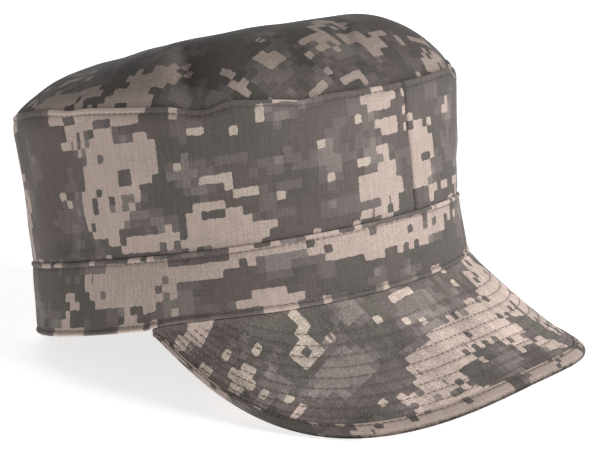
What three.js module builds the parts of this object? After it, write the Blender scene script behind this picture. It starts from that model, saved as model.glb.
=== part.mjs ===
// A patrol cap of camouflage cotton, standing by itself on its bill and the back of its rim.
// Millimetres, +Z up, +X towards the bill, +Y towards the wearer's left.
// Every form is first worked out with the rim level (height 0), then the cap is set down.

import * as THREE from "three";

// The rim is the open lower edge of the headband, outside the cloth.
const RIM_HALF_LENGTH = 98;
const RIM_HALF_WIDTH = 87.4;
// A squareness of 2 gives an ellipse; more pushes the four quarters outwards.
const RIM_SQUARENESS = 2.33;
// Over the bill the rim dips at the very front and lifts a little at the temples.
const RIM_DIP_FRONT = 7.5;
const RIM_LIFT_TEMPLES = 4.9;

// The headband's upper edge, against the rim.
const BAND_HEIGHT_FRONT = 25.3;
const BAND_HEIGHT_BACK = 30.3;
const BAND_HEIGHT_LEFT = 28.3;
const BAND_HEIGHT_RIGHT = 29.8;
const BAND_FLARE_LENGTH = 1.9;
const BAND_FLARE_WIDTH = -6.4;
const BAND_SHIFT_FORWARD = 2.1;
const BAND_WALL = 2.4;
// The band laps over the crown, so it stands proud of it by this much.
const BAND_PROUD = 0.5;

// The seam round the top panel, against the rim.
const SEAM_HEIGHT_FRONT = 77.4;
const SEAM_HEIGHT_BACK = 93.9;
const SEAM_HEIGHT_LEFT = 92.7;
const SEAM_HEIGHT_RIGHT = 91.1;
const SEAM_FLARE_LENGTH = -3.9;
const SEAM_FLARE_WIDTH = -3.7;
const SEAM_SHIFT_FORWARD = 11.8;
const SEAM_SHIFT_LEFT = 1.3;
const SEAM_SQUARENESS = 2.47;

const CROWN_WALL = 1.5;
const WALL_BULGE = 1.9;
const DOME_HEIGHT = 111.4;
// The higher this power, the flatter the top panel and the steeper its edge on that side.
const DOME_FLATNESS_FRONT = 6.2;
const DOME_FLATNESS_BACK = 4.7;
const DOME_FLATNESS_LEFT = 4.6;
const DOME_FLATNESS_RIGHT = 5.5;

// The bill leaves the rim between the two temples.
const BILL_HALF_TURN = 75;
const BILL_REACH = 47.9;
const BILL_DROOP_FRONT = 42.1;
const BILL_DROOP_SIDES = 64.9;
const BILL_SPLAY = 29.7;
const BILL_SAG = 3.3;
const BILL_CORNER_POWER = 3.7;
const BILL_CORNER_SOFTNESS = 1.52;
const BILL_WALL = 2.6;
// The bill's root is tucked under the headband by this much.
const BILL_TUCK = 1.5;
// The bill is cut off at this share of the way to its corners, which run out to nothing.
const BILL_END_SHARE = 0.97;

const BINDING_WIDTH = 7;
const BINDING_WALL = 1.0;
// The binding's stitches press each face of the bill in by this much.
const BINDING_PRESS = 0.6;

// Clearance between two pieces that touch.
const SEAM_GAP = 0.3;
// The back of the rim is pressed flat by this much where the cap stands on it.
const RIM_FLATTENED = 1.2;

// Mesh steps.
const TURN_STEPS = 72;
const BILL_STEPS = 48;
const BILL_ROWS = 5;

// How far the side wall stands outside a straight line from the band to the top seam.
// up: share of the wall's height, out: share of WALL_BULGE.
const WALL_PROFILE = [
  { up: 0.0, out: 0.0 },
  { up: 0.06, out: 0.28 },
  { up: 0.2, out: 0.38 },
  { up: 0.4, out: 0.45 },
  { up: 0.6, out: 0.55 },
  { up: 0.78, out: 0.78 },
  { up: 0.92, out: 1.0 },
  { up: 1.0, out: 0.0 },
];

// Long soft folds in the side wall. turn: degrees from the front, + to the left, at mid height;
// lean: degrees that the fold moves round from band to top; low, high: its ends as shares of the
// height; depth: share of CROWN_WALL, - for a ridge; width: degrees either side.
const WALL_FOLDS = [
  { turn: -104, lean: 12, low: 0.05, high: 1.0, depth: 1.9, width: 7 },
  { turn: -116, lean: 8, low: 0.1, high: 0.95, depth: -0.8, width: 7 },
  { turn: -108, lean: -30, low: 0.02, high: 0.35, depth: 0.8, width: 5 },
  { turn: -34, lean: 4, low: 0.6, high: 1.0, depth: 0.6, width: 5 },
  { turn: -72, lean: 10, low: 0.0, high: 0.5, depth: 0.5, width: 9 },
  { turn: 148, lean: -10, low: 0.05, high: 0.9, depth: 1.2, width: 8 },
  { turn: 84, lean: 12, low: 0.1, high: 0.95, depth: 1.3, width: 8 },
  { turn: 42, lean: 0, low: 0.3, high: 1.0, depth: -1.3, width: 13 },
  { turn: -152, lean: 6, low: 0.3, high: 1.0, depth: 0.9, width: 8 },
];

// Puckers where the top seam has gathered. turn and width in degrees; in, down: shares of CROWN_WALL.
const SEAM_PUCKERS = [
  { turn: -54, width: 6, in: 1.0, down: 1.6 },
  { turn: -47, width: 5, in: -0.4, down: -0.9 },
  { turn: -99, width: 6, in: 1.2, down: 0.8 },
  { turn: -30, width: 5, in: 0.5, down: 0.9 },
  { turn: 32, width: 7, in: 0.7, down: 0.9 },
  { turn: 95, width: 8, in: 0.8, down: 0.9 },
  { turn: 150, width: 7, in: 0.6, down: 0.7 },
  { turn: -148, width: 7, in: 0.7, down: 0.8 },
];

// Hollows and ridges in the top panel. turn: degrees; reach: share of the way out to the seam;
// depth: share of CROWN_WALL, - for a ridge; along, across: half sizes as shares of RIM_HALF_WIDTH;
// aim: degrees that the fold points away from straight out.
const TOP_FOLDS = [
  { turn: -54, reach: 0.88, depth: 2.2, along: 0.16, across: 0.06, aim: 10 },
  { turn: -62, reach: 0.82, depth: -1.2, along: 0.2, across: 0.08, aim: 0 },
  { turn: -6, reach: 0.86, depth: 1.4, along: 0.22, across: 0.06, aim: -35 },
  { turn: -24, reach: 0.93, depth: 1.0, along: 0.16, across: 0.05, aim: 60 },
  { turn: 40, reach: 0.7, depth: 1.6, along: 0.3, across: 0.12, aim: 20 },
  { turn: 160, reach: 0.5, depth: 2.0, along: 0.4, across: 0.2, aim: 70 },
  { turn: -110, reach: 0.6, depth: 1.3, along: 0.3, across: 0.14, aim: 15 },
];

// Shares of the way from the top seam to the middle at which the top panel has a ring of points.
const TOP_RINGS = [1.0, 0.95, 0.88, 0.78, 0.64, 0.46, 0.24];
// Shares of the headband's height at which it has a ring of points.
const BAND_RINGS = [0.0, 0.5, 1.0];

const camouflage = (colour) =>
  new THREE.MeshStandardMaterial({ color: colour, roughness: 0.92, metalness: 0 });

function radians(degrees) {
  return (degrees * Math.PI) / 180;
}

function mix(from, to, share) {
  return from + (to - from) * share;
}

// A smooth hill, 1 at the middle and falling away on both sides.
function hill(offset, width) {
  return Math.exp(-((offset / width) ** 2));
}

// 0 outside low..high, 1 well inside it, with soft ends.
function window(value, low, high) {
  const edge = 0.12;
  const rise = THREE.MathUtils.smoothstep(value, low - edge / 2, low + edge);
  const fall = THREE.MathUtils.smoothstep(value, high - edge, high + edge / 2);
  return rise * (1 - fall);
}

// The shorter way round between two directions, in radians.
function turnBetween(first, second) {
  return Math.atan2(Math.sin(first - second), Math.cos(first - second));
}

// Radius of a rounded oval in the direction `turn`.
function ovalRadius(turn, halfLength, halfWidth, squareness) {
  const along = Math.abs(Math.cos(turn) / halfLength) ** squareness;
  const across = Math.abs(Math.sin(turn) / halfWidth) ** squareness;
  return (along + across) ** (-1 / squareness);
}

// A value given at the front, back, left and right, and smooth in between.
function roundAbout(turn, front, back, left, right) {
  const mean = (front + back + left + right) / 4;
  const ends = (front + back - left - right) / 4;
  const tilt = ((front - back) / 2) * Math.cos(turn) + ((left - right) / 2) * Math.sin(turn);
  return mean + ends * Math.cos(2 * turn) + tilt;
}

function outward(turn) {
  return new THREE.Vector3(Math.cos(turn), Math.sin(turn), 0);
}

// The rim's height: level, but for the stretch that the bill is sewn to.
function rimHeight(turn) {
  const across = Math.min(1, Math.abs(turnBetween(turn, 0)) / radians(BILL_HALF_TURN));
  return RIM_LIFT_TEMPLES * (1 - across ** 8) - RIM_DIP_FRONT * (1 - across ** 2);
}

function rimPoint(turn) {
  const radius = ovalRadius(turn, RIM_HALF_LENGTH, RIM_HALF_WIDTH, RIM_SQUARENESS);
  const point = outward(turn).multiplyScalar(radius);
  point.z = rimHeight(turn);
  return point;
}

function bandTopPoint(turn) {
  const halfLength = RIM_HALF_LENGTH + BAND_FLARE_LENGTH;
  const halfWidth = RIM_HALF_WIDTH + BAND_FLARE_WIDTH;
  const point = outward(turn).multiplyScalar(
    ovalRadius(turn, halfLength, halfWidth, RIM_SQUARENESS)
  );
  point.x += BAND_SHIFT_FORWARD;
  point.z = roundAbout(
    turn,
    BAND_HEIGHT_FRONT,
    BAND_HEIGHT_BACK,
    BAND_HEIGHT_LEFT,
    BAND_HEIGHT_RIGHT
  );
  return point;
}

function topSeamPoint(turn) {
  const halfLength = RIM_HALF_LENGTH + SEAM_FLARE_LENGTH;
  const halfWidth = RIM_HALF_WIDTH + SEAM_FLARE_WIDTH;
  const point = outward(turn).multiplyScalar(
    ovalRadius(turn, halfLength, halfWidth, SEAM_SQUARENESS)
  );
  point.x += SEAM_SHIFT_FORWARD;
  point.y += SEAM_SHIFT_LEFT;
  point.z = roundAbout(
    turn,
    SEAM_HEIGHT_FRONT,
    SEAM_HEIGHT_BACK,
    SEAM_HEIGHT_LEFT,
    SEAM_HEIGHT_RIGHT
  );
  return point;
}

// How the gathered seam pulls the cloth in and down at `turn`.
function seamPucker(turn) {
  const pull = new THREE.Vector3();
  for (const pucker of SEAM_PUCKERS) {
    const share = hill(turnBetween(turn, radians(pucker.turn)), radians(pucker.width));
    pull.addScaledVector(outward(turn), -pucker.in * CROWN_WALL * share);
    pull.z -= pucker.down * CROWN_WALL * share;
  }
  return pull;
}

function wallBulge(up) {
  const next = WALL_PROFILE.findIndex((row) => row.up >= up);
  if (next <= 0) {
    return WALL_PROFILE[0].out * WALL_BULGE;
  }
  const above = WALL_PROFILE[next];
  const below = WALL_PROFILE[next - 1];
  return mix(below.out, above.out, (up - below.up) / (above.up - below.up)) * WALL_BULGE;
}

function wallFoldDepth(turn, up) {
  let depth = 0;
  for (const fold of WALL_FOLDS) {
    const centre = radians(fold.turn + fold.lean * (up - 0.5));
    const share = hill(turnBetween(turn, centre), radians(fold.width));
    depth += fold.depth * CROWN_WALL * share * window(up, fold.low, fold.high);
  }
  // The seams at both edges hold the cloth straight.
  return depth * Math.min(1, up / 0.08) * Math.min(1, (1 - up) / 0.08);
}

// Outer face of the side wall; up runs from 0 at the headband to 1 at the top seam.
function wallPoint(turn, up) {
  const foot = bandTopPoint(turn).addScaledVector(outward(turn), -BAND_PROUD);
  const point = foot.lerp(topSeamPoint(turn), up);
  point.addScaledVector(seamPucker(turn), up ** 4);
  return point.addScaledVector(outward(turn), wallBulge(up) - wallFoldDepth(turn, up));
}

function topFoldDepth(point) {
  let depth = 0;
  for (const fold of TOP_FOLDS) {
    const centre = topSeamPoint(radians(fold.turn)).multiplyScalar(fold.reach);
    const aim = radians(fold.turn + fold.aim);
    const east = point.x - centre.x;
    const north = point.y - centre.y;
    const along = east * Math.cos(aim) + north * Math.sin(aim);
    const across = north * Math.cos(aim) - east * Math.sin(aim);
    const share =
      hill(along, fold.along * RIM_HALF_WIDTH) * hill(across, fold.across * RIM_HALF_WIDTH);
    depth += fold.depth * CROWN_WALL * share;
  }
  return depth;
}

// Outer face of the top panel; reach runs from 0 in the middle to 1 at the top seam.
function topPoint(turn, reach) {
  const edge = topSeamPoint(turn);
  const flatness = roundAbout(
    turn,
    DOME_FLATNESS_FRONT,
    DOME_FLATNESS_BACK,
    DOME_FLATNESS_LEFT,
    DOME_FLATNESS_RIGHT
  );
  const point = new THREE.Vector3(
    mix(SEAM_SHIFT_FORWARD, edge.x, reach),
    mix(SEAM_SHIFT_LEFT, edge.y, reach),
    mix(DOME_HEIGHT, edge.z, reach ** flatness)
  );
  point.addScaledVector(seamPucker(turn), reach ** 8);
  // The folds die out at the seam, which is held straight.
  point.z -= topFoldDepth(point) * (1 - reach ** 12);
  return point;
}

// The direction out of the top panel's outer face, from its slopes.
function topNormal(turn, reach) {
  const small = 0.02;
  const low = Math.max(reach, small);
  const middle = topPoint(turn, low);
  const further = topPoint(turn, low - small).sub(middle);
  const beside = topPoint(turn + small, low).sub(middle);
  return beside.cross(further).normalize();
}

// Level reach of the bill beyond the rim; across runs from -1 to 1 between the temples.
function billReach(across) {
  return BILL_REACH * (1 - Math.abs(across) ** BILL_CORNER_POWER) ** BILL_CORNER_SOFTNESS;
}

function billDroop(across) {
  return radians(mix(BILL_DROOP_FRONT, BILL_DROOP_SIDES, across ** 2));
}

// Upper face of the bill at a level distance from the rim.
function billTop(across, distance) {
  const turn = radians(BILL_HALF_TURN) * across;
  const splay = radians(BILL_SPLAY) * across;
  const share = distance / billReach(across);
  const sag = (BILL_SAG * 4 * share * (1 - share) * billReach(across)) / BILL_REACH;
  const point = rimPoint(turn).addScaledVector(outward(splay), distance);
  point.z -= SEAM_GAP + distance * Math.tan(billDroop(across)) + sag;
  return point;
}

function billNormal(across, distance) {
  const small = 0.01;
  const middle = billTop(across, distance);
  const further = billTop(across, distance + small).sub(middle);
  const beside = billTop(across + small, distance).sub(middle);
  return further.cross(beside).normalize();
}

// Length of the bill along its own slope.
function billSlope(across) {
  return billReach(across) / Math.cos(billDroop(across));
}

// A point in the bill's thickness: `slope` back from its edge along the cloth, `height` above its
// upper face.
function billLayer(across, slope, height) {
  const distance = billReach(across) - slope * Math.cos(billDroop(across));
  const point = billTop(across, distance);
  return point.addScaledVector(billNormal(across, distance), height);
}

// Width of the binding, which narrows towards the bill's corners.
function bindingWidth(across) {
  return Math.min(BINDING_WIDTH, 0.6 * billSlope(across));
}

// The floor's tilt against the rim: it touches the flattened back of the rim and the bill's edge.
function restPitch() {
  const pitches = billTurns().map((across) => {
    const edge = bindingRows(across).outer;
    const steepest = edge.map((point) =>
      Math.atan2(RIM_FLATTENED - point.z, point.x + RIM_HALF_LENGTH)
    );
    return Math.max(...steepest);
  });
  return Math.max(...pitches);
}

// Set a level point down on the floor: turn it about the back of the rim and press it flat.
function setDown(point, pitch) {
  const forward = point.x + RIM_HALF_LENGTH;
  const height = point.z - RIM_FLATTENED;
  return new THREE.Vector3(
    forward * Math.cos(pitch) - height * Math.sin(pitch) - RIM_HALF_LENGTH,
    point.y,
    Math.max(0, forward * Math.sin(pitch) + height * Math.cos(pitch))
  );
}

// Six times the volume that the triangles enclose; negative when they face inwards.
function sixfoldVolume(points, triangles) {
  let sum = 0;
  for (const [a, b, c] of triangles) {
    sum += points[a].dot(new THREE.Vector3().crossVectors(points[b], points[c]));
  }
  return sum;
}

// A closed sheet of cloth between an outer and an inner face, each given as rows of points.
// wraps joins the last column to the first; centre closes the last row over one middle point.
function clothSheet(name, material, outer, inner, { wraps = false, centre = null } = {}) {
  const rows = outer.length;
  const columns = outer[0].length;
  const points = [...outer.flat(), ...inner.flat()];
  const triangles = [];
  const at = (face, row, column) => (face * rows + row) * columns + (column % columns);
  const quad = (a, b, c, d) => triangles.push([a, b, c], [a, c, d]);
  const steps = wraps ? columns : columns - 1;
  for (let column = 0; column < steps; column += 1) {
    const next = column + 1;
    for (let row = 0; row < rows - 1; row += 1) {
      quad(at(0, row, column), at(0, row, next), at(0, row + 1, next), at(0, row + 1, column));
      quad(at(1, row, column), at(1, row + 1, column), at(1, row + 1, next), at(1, row, next));
    }
    quad(at(0, 0, column), at(1, 0, column), at(1, 0, next), at(0, 0, next));
    const last = rows - 1;
    if (centre) {
      triangles.push([at(0, last, column), at(0, last, next), points.length]);
      triangles.push([at(1, last, next), at(1, last, column), points.length + 1]);
    } else {
      quad(at(0, last, column), at(0, last, next), at(1, last, next), at(1, last, column));
    }
  }
  if (centre) {
    points.push(centre.outer, centre.inner);
  }
  if (!wraps) {
    const end = columns - 1;
    for (let row = 0; row < rows - 1; row += 1) {
      quad(at(0, row, 0), at(0, row + 1, 0), at(1, row + 1, 0), at(1, row, 0));
      quad(at(0, row, end), at(1, row, end), at(1, row + 1, end), at(0, row + 1, end));
    }
  }
  if (sixfoldVolume(points, triangles) < 0) {
    triangles.forEach((triangle) => triangle.reverse());
  }
  const geometry = new THREE.BufferGeometry().setFromPoints(points);
  geometry.setIndex(triangles.flat());
  geometry.computeVertexNormals();
  const mesh = new THREE.Mesh(geometry, material);
  mesh.name = name;
  return mesh;
}

function turnsRound() {
  return Array.from({ length: TURN_STEPS }, (_, step) => (2 * Math.PI * step) / TURN_STEPS);
}

// Places across the bill, closer together towards its corners.
function billTurns() {
  return Array.from(
    { length: BILL_STEPS + 1 },
    (_, step) => BILL_END_SHARE * Math.sin(((2 * step) / BILL_STEPS - 1) * (Math.PI / 2))
  );
}

function makeCrownTop(place) {
  const turns = turnsRound();
  const lift = new THREE.Vector3(0, 0, SEAM_GAP / 2);
  const outer = TOP_RINGS.map((reach) => turns.map((turn) => topPoint(turn, reach).add(lift)));
  const inner = TOP_RINGS.map((reach, ring) =>
    turns.map((turn, step) => {
      const point = outer[ring][step].clone();
      // The sewn edge is cut level, so that it stands on the side wall.
      const inwards = ring === 0 ? outward(turn).multiplyScalar(1.3) : topNormal(turn, reach);
      return point.addScaledVector(inwards, -CROWN_WALL);
    })
  );
  const summit = topPoint(0, 0).add(lift);
  const centre = {
    outer: place(summit),
    inner: place(summit.clone().addScaledVector(topNormal(0, 0), -CROWN_WALL)),
  };
  const faces = [outer, inner].map((face) => face.map((row) => row.map(place)));
  return clothSheet("crown_top", camouflage(0x8a847a), ...faces, { wraps: true, centre });
}

// One half of the side wall, from the seam at the front to the seam at the back.
function makeCrownSide(name, side, colour, place) {
  const steps = TURN_STEPS / 2;
  const rowHeights = WALL_PROFILE.map((row) => row.up);
  const halfGap = SEAM_GAP / 2;
  const columns = Array.from({ length: steps + 1 }, (_, step) => (side * Math.PI * step) / steps);
  const face = (depth) =>
    rowHeights.map((up) =>
      columns.map((turn, step) => {
        const point = wallPoint(turn, up).addScaledVector(outward(turn), -depth);
        point.z += up === 0 ? halfGap : 0;
        point.z -= up === 1 ? halfGap : 0;
        point.y += step === 0 || step === steps ? side * halfGap : 0;
        return place(point);
      })
    );
  return clothSheet(name, camouflage(colour), face(0), face(CROWN_WALL));
}

function makeHeadband(place) {
  const face = (depth) =>
    BAND_RINGS.map((up) =>
      turnsRound().map((turn) => {
        const point = rimPoint(turn).lerp(bandTopPoint(turn), up);
        point.z -= up === 1 ? SEAM_GAP / 2 : 0;
        return place(point.addScaledVector(outward(turn), -depth));
      })
    );
  return clothSheet("headband", camouflage(0x7b766d), face(0), face(BAND_WALL), { wraps: true });
}

function makeBill(place) {
  const across = billTurns();
  const halfPressed = BILL_WALL / 2 - BINDING_PRESS;
  // slope: distance back from the edge; half: half the thickness there.
  const rowsAt = (share) => {
    const step = bindingWidth(share) + SEAM_GAP;
    const open = Array.from({ length: BILL_ROWS + 1 }, (_, row) => ({
      slope: mix(billSlope(share), step, row / BILL_ROWS),
      half: BILL_WALL / 2,
    }));
    const pressed = [
      { slope: step - SEAM_GAP / 2, half: halfPressed },
      { slope: BINDING_WALL + SEAM_GAP, half: halfPressed },
    ];
    return [...open, ...pressed];
  };
  const face = (sign) => {
    const columns = across.map((share) =>
      rowsAt(share).map(({ slope, half }) =>
        billLayer(share, slope, sign * half - BILL_WALL / 2)
      )
    );
    columns.forEach((column, index) => {
      // The root's own row is tucked level under the headband.
      const turn = radians(BILL_HALF_TURN) * across[index];
      const tucked = rimPoint(turn).addScaledVector(outward(turn), -BILL_TUCK);
      tucked.z -= SEAM_GAP + (sign < 0 ? BILL_WALL : 0);
      tucked.addScaledVector(outward(turn), sign < 0 ? -BILL_WALL : 0);
      column.unshift(tucked);
    });
    return columns[0].map((_, row) => columns.map((column) => place(column[row])));
  };
  return clothSheet("bill", camouflage(0x837d73), face(1), face(-1));
}

// The binding's folded strip at one place across the bill, outer and inner face.
function bindingRows(across) {
  const width = bindingWidth(across);
  const middle = -BILL_WALL / 2;
  const inside = BILL_WALL / 2 - BINDING_PRESS + SEAM_GAP;
  const outside = inside + BINDING_WALL;
  // slope: back from the edge; level: share of the strip's half thickness.
  const path = [
    { slope: width, level: 1 },
    { slope: BINDING_WALL * 1.2, level: 1 },
    { slope: 0, level: 0.5 },
    { slope: 0, level: -0.5 },
    { slope: BINDING_WALL * 1.2, level: -1 },
    { slope: width, level: -1 },
  ];
  const layer = (slope, half) => (row) =>
    billLayer(across, slope(row), middle + row.level * half);
  return {
    outer: path.map(layer((row) => row.slope, outside)),
    inner: path.map(layer((row) => Math.max(row.slope, BINDING_WALL), inside)),
  };
}

function makeBillBinding(place) {
  const strips = billTurns().map(bindingRows);
  const face = (side) =>
    strips[0][side].map((_, row) => strips.map((strip) => place(strip[side][row])));
  return clothSheet("bill_binding", camouflage(0x75706a), face("outer"), face("inner"));
}

function makeCap() {
  const pitch = restPitch();
  const place = (point) => setDown(point, pitch);
  const cap = new THREE.Group();
  cap.add(makeCrownTop(place));
  cap.add(makeCrownSide("crown_side_left", 1, 0x8f8980, place));
  cap.add(makeCrownSide("crown_side_right", -1, 0x88827a, place));
  cap.add(makeHeadband(place));
  cap.add(makeBill(place));
  cap.add(makeBillBinding(place));
  // The origin is on the floor, under the middle of the whole cap.
  const box = new THREE.Box3().setFromObject(cap, true);
  cap.position.set(-(box.min.x + box.max.x) / 2, -(box.min.y + box.max.y) / 2, 0);
  return cap;
}

export default makeCap();
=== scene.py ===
# A patrol cap of camouflage cotton, standing on its bill and the back of its rim.
# Forms are worked out in millimetres with the rim level, then set down on the floor in metres.
import math

import bpy
import numpy as np
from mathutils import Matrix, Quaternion, Vector


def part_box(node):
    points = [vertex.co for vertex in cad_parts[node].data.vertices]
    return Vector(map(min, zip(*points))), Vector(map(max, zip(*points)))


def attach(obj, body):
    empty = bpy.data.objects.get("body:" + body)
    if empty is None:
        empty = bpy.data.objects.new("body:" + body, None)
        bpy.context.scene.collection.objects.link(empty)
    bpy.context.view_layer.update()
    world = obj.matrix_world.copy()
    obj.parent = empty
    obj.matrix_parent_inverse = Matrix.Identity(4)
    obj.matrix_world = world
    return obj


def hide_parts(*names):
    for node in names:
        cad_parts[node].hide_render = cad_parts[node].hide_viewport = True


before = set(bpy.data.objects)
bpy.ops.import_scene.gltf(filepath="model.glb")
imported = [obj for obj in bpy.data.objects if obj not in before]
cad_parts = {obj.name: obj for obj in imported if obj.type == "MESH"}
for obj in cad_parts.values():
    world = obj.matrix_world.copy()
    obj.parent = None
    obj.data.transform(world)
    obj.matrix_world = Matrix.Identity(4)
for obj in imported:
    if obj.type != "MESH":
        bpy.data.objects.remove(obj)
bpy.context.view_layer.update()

MM = 0.001

# Rim, headband, crown and bill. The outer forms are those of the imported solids, but for a
# stretch of the top seam at the left rear, and the crown and band are thinner cloth.
RIM_HALF_LENGTH = 98.0
RIM_HALF_WIDTH = 87.4
RIM_SQUARENESS = 2.33
RIM_DIP_FRONT = 7.5
RIM_LIFT_TEMPLES = 4.9
RIM_FLATTENED = 1.2

BAND_HEIGHTS = dict(front=25.3, back=30.3, left=28.3, right=29.8)
BAND_FLARE_LENGTH = 1.9
BAND_FLARE_WIDTH = -6.4
BAND_SHIFT_FORWARD = 2.1
BAND_PROUD = 0.5
BAND_WALL = 2.0

SEAM_HEIGHTS = dict(front=77.4, back=93.9, left=92.7, right=91.1)
SEAM_FLARE_LENGTH = -3.9
SEAM_FLARE_WIDTH = -3.7
SEAM_SHIFT_FORWARD = 11.8
SEAM_SHIFT_LEFT = 1.3
SEAM_SQUARENESS = 2.47

CROWN_WALL = 1.0
FOLD_UNIT = 1.5
WALL_BULGE = 1.9
DOME_HEIGHT = 111.4
DOME_FLATNESS = dict(front=6.2, back=4.7, left=4.6, right=5.5)

BILL_HALF_TURN = math.radians(75)
BILL_REACH = 47.9
BILL_DROOP_FRONT = math.radians(42.1)
BILL_DROOP_SIDES = math.radians(64.9)
BILL_SPLAY = math.radians(29.7)
BILL_SAG = 3.3
BILL_CORNER_POWER = 3.7
BILL_CORNER_SOFTNESS = 1.52
BILL_WALL = 2.6
BILL_END_SHARE = 0.97
BINDING_WIDTH = 7.0
BINDING_PRESS = 0.6
BINDING_PROUD = 0.7

# The angle in radians by which the rim's front is lifted when the cap stands on its bill.
REST_PITCH = 0.23537

# Clear space where pieces are sewn together, and where the bill is tucked under the band.
JOINT_GAP = 0.3
TUCK_GAP = 0.03
TUCK_DEPTH = 1.5

# The angle by which each half of the wall stops short of the seams down its two ends.
WALL_END_ANGLE = 0.0016
# How the wall's cloth sinks towards the band that laps over it.
WALL_SINK = 0.35
WALL_SINK_REACH = 0.9
# Where the bill's cloth goes under the binding, and how far from the edge it stops.
BINDING_LAP = 0.2
BILL_CLOTH_END = 1.2
# The headband's height on its cloth laid flat, and the place of the bill's lower cloth there.
BAND_CLOTH_HEIGHT = 29
LOWER_CLOTH_SHIFT = np.array([310.0, 75.0])

# Sewing.
STITCH_LENGTH = 2.1
STITCH_GAP = 0.75
THREAD_RADIUS = 0.2
THREAD_LIFT = 0.06
SEAM_STITCH = 2.2
HEM_STITCH = 2.4
BILL_ROW_SPACING = 5.3
BILL_FIRST_ROW = 10.5
BILL_ROWS_SEWN = 9

WALL_PROFILE_UP = [0.0, 0.06, 0.2, 0.4, 0.6, 0.78, 0.92, 1.0]
WALL_PROFILE_OUT = [0.0, 0.28, 0.38, 0.45, 0.55, 0.78, 1.0, 0.0]

# Long soft folds in the side wall. turn: degrees from the front at mid height, + to the left;
# lean: degrees moved round from band to top; low, high: ends as shares of the height;
# depth: share of FOLD_UNIT, - for a ridge; width: degrees either side.
WALL_FOLDS = [
    dict(turn=-104, lean=12, low=0.05, high=1.0, depth=1.9, width=7),
    dict(turn=-116, lean=8, low=0.1, high=0.95, depth=-0.8, width=7),
    dict(turn=-108, lean=-30, low=0.02, high=0.35, depth=0.8, width=5),
    dict(turn=-34, lean=4, low=0.6, high=1.0, depth=0.6, width=5),
    dict(turn=-72, lean=10, low=0.0, high=0.5, depth=0.5, width=9),
    dict(turn=148, lean=-10, low=0.05, high=0.9, depth=1.2, width=8),
    dict(turn=84, lean=12, low=0.1, high=0.95, depth=1.3, width=8),
    dict(turn=42, lean=0, low=0.3, high=1.0, depth=-1.3, width=13),
    dict(turn=-152, lean=6, low=0.3, high=1.0, depth=0.9, width=8),
]

# Puckers where the top seam has gathered. pull_in and down are shares of FOLD_UNIT.
SEAM_PUCKERS = [
    dict(turn=-54, width=6, pull_in=1.0, down=1.6),
    dict(turn=-47, width=5, pull_in=-0.4, down=-0.9),
    dict(turn=-99, width=6, pull_in=1.2, down=0.8),
    dict(turn=-118, width=28, pull_in=-0.5, down=-1.5),
    dict(turn=-30, width=5, pull_in=0.5, down=0.9),
    dict(turn=32, width=7, pull_in=0.7, down=0.9),
    dict(turn=95, width=8, pull_in=0.8, down=0.9),
    dict(turn=150, width=7, pull_in=0.6, down=0.7),
    dict(turn=-148, width=7, pull_in=0.7, down=0.8),
]

# Hollows (+) and ridges (-) in the top panel. reach: share of the way out to the seam; depth:
# share of FOLD_UNIT; along, across: shares of RIM_HALF_WIDTH; aim: degrees off the outward line;
# crisp: 1 round, 2 pinched.
TOP_FOLDS = [
    dict(turn=-56, reach=0.9, depth=3.2, along=0.16, across=0.06, aim=10, crisp=2),
    dict(turn=-63, reach=0.84, depth=-1.6, along=0.2, across=0.08, aim=0, crisp=1),
    dict(turn=-6, reach=0.86, depth=1.4, along=0.22, across=0.06, aim=-35, crisp=2),
    dict(turn=-24, reach=0.93, depth=1.0, along=0.16, across=0.05, aim=60, crisp=2),
    dict(turn=40, reach=0.7, depth=1.6, along=0.3, across=0.12, aim=20, crisp=1),
    dict(turn=160, reach=0.5, depth=2.0, along=0.4, across=0.2, aim=70, crisp=1),
    dict(turn=-110, reach=0.6, depth=1.3, along=0.3, across=0.14, aim=15, crisp=1),
]

# How cloth stands out beside a folded and stitched edge, by distance from the edge.
RIDGE_AT = [0.0, 0.35, 0.9, 1.5, 1.95, 2.3, 2.9, 4.5]
TOP_RIDGE_OUT = [-0.3, 0.3, 0.5, 0.4, 0.0, -0.3, -0.05, 0.0]
BAND_RIDGE_OUT = [-0.3, 0.3, 0.5, 0.4, -0.1, -0.4, -0.05, 0.0]
# How much lighter it is drawn there, with wear and a painted highlight on the folded edge, and how much
# darker, with painted shade in the groove along the stitches.
EDGE_WEAR_AND_PAINTED_LIGHT = [1.6, 1.2, 0.3, 0.1, -0.3, -0.6, -0.1, 0.0]
# How the top panel rolls down into its seam, by distance from it.
ROLL_AT = [0, 0.6, 2, 5, 12]
ROLL_OUT = [-1.0, -0.2, 0.5, 0.45, 0]
# The last table draws the cloth darker right at the seam, as painted shade, and lighter on the crest of
# the roll, partly wear and partly painted highlight.
ROLL_WEAR_AND_PAINTED_LIGHT = [-1.0, 0.0, 0.5, 0.0, 0.0]

# Furrows at the seams and under the bill's stitches, and the allowances pressed flat beside the
# wall's seams. The edges are how far from the seam an allowance begins and ends to fall away.
FURROW_WIDTH = 0.8
WALL_FURROW = 0.9
BAND_FURROW = 0.7
BILL_FURROW = 0.15
ALLOWANCE_HEIGHT = 0.3
ALLOWANCE_EDGES = (5.0, 7.5)

# Unevenness of the cloth. high: millimetres; cells: lumps in half a turn; rows: lumps for each
# unit upwards; shift, seed: which part of which noise.
SEAM_GATHER = dict(high=0.28, cells=34, rows=1 / 40, shift=0, seed=3)
BAND_GATHER = dict(high=0.22, cells=30, rows=1 / 40, shift=0, seed=4)
WALL_SLACK = dict(high=0.45, cells=9, rows=2.2, shift=5, seed=5)
WALL_CREPE = dict(high=0.16, cells=22, rows=4.5, shift=9, seed=6)
TOP_GATHER = dict(high=0.5, cells=27, rows=1 / 30, shift=0, seed=13)
BAND_SLACK = dict(high=0.35, cells=11, rows=1.5, shift=0, seed=21)
BAND_CREPE = dict(high=0.12, cells=33, rows=3, shift=0, seed=22)
HEM_GATHER = dict(high=0.16, cells=60, rows=2, shift=4, seed=23)
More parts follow.
